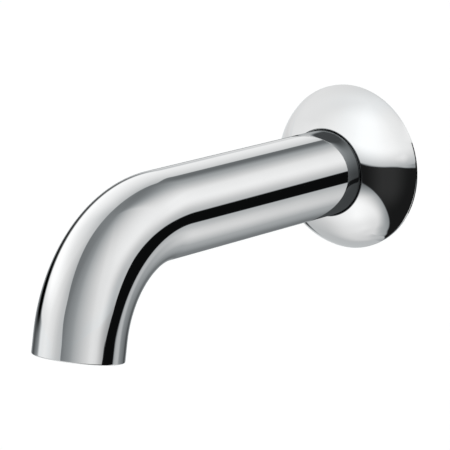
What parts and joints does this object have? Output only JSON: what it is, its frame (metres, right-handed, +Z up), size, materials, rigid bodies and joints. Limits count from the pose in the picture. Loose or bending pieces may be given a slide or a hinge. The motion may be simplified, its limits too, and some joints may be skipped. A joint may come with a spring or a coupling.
{
  "type": "bath spout",
  "caption": "Wall-mounted bath spout: a round chromed tube leaves a hollow domed wall flange, runs out level and bends down to a square-cut outlet that holds a honeycomb aerator.",
  "frame": {"origin": "where the inlet's axis meets the wall, at the middle of the flange's foot", "axes": "+Y into the wall along the inlet thread, +Z up, so the spout reaches out along -Y and turns down towards -Z; X = 0 is its plane of symmetry"},
  "size_m": [0.068, 0.2052, 0.0827],
  "materials": {
    "chrome_plate": "polished chromium plate on brass",
    "bare_brass": "turned, unplated brass",
    "steel": "plain stainless steel",
    "black_rubber": "matt black sealing rubber",
    "grey_plastic": "moulded grey plastic",
    "white_plastic": "moulded white plastic"
  },
  "bodies": {
    "root": {"spout_tube": "chrome_plate", "wall_flange": "chrome_plate", "outlet_collar": "chrome_plate", "inlet_nipple": "bare_brass", "inlet_socket": "bare_brass", "grub_screw": "steel", "strainer_screen": "steel", "flange_grip_ring": "black_rubber", "wall_seal": "black_rubber", "rear_o_ring": "black_rubber", "front_o_ring": "black_rubber", "aerator_washer": "black_rubber", "aerator_housing": "grey_plastic", "jet_plate": "grey_plastic", "flow_straightener": "white_plastic"}
  },
  "joints": []
}
